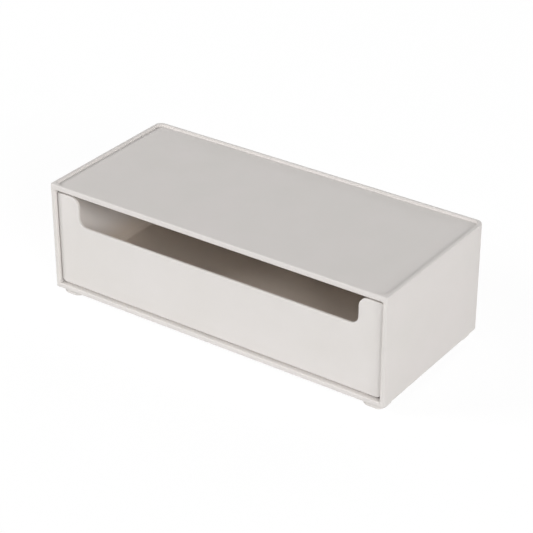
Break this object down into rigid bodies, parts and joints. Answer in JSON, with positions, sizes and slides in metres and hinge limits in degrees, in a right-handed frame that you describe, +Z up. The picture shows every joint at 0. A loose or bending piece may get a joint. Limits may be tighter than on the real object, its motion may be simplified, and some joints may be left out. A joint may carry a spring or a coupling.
{
  "type": "stackable drawer box",
  "caption": "Low rectangular desk box with a sliding drawer, a wide finger notch in the drawer's front, and a rimmed top that holds the feet of a box stacked on it.",
  "frame": {"origin": "on the surface that the box stands on, below the middle of the casing", "axes": "+Z up, +X along the width to the right as seen from the drawer's front, +Y from the front to the back; the drawer pulls out along -Y"},
  "size_m": [0.3, 0.135, 0.0954],
  "materials": {
    "casing_plastic": "fine matte texture, warm off-white",
    "drawer_plastic": "fine matte texture, warm off-white",
    "pad_rubber": "matt soft rubber, light grey"
  },
  "bodies": {
    "casing": {"casing": "casing_plastic", "foot_pad_front_left": "pad_rubber", "foot_pad_front_right": "pad_rubber", "foot_pad_rear_left": "pad_rubber", "foot_pad_rear_right": "pad_rubber"},
    "drawer": {"drawer": "drawer_plastic"}
  },
  "joints": [
    {"name": "drawer_slide", "type": "slide", "parent": "casing", "child": "drawer", "axis": [0, -1, 0], "range_m": [0, 0.1]}
  ]
}
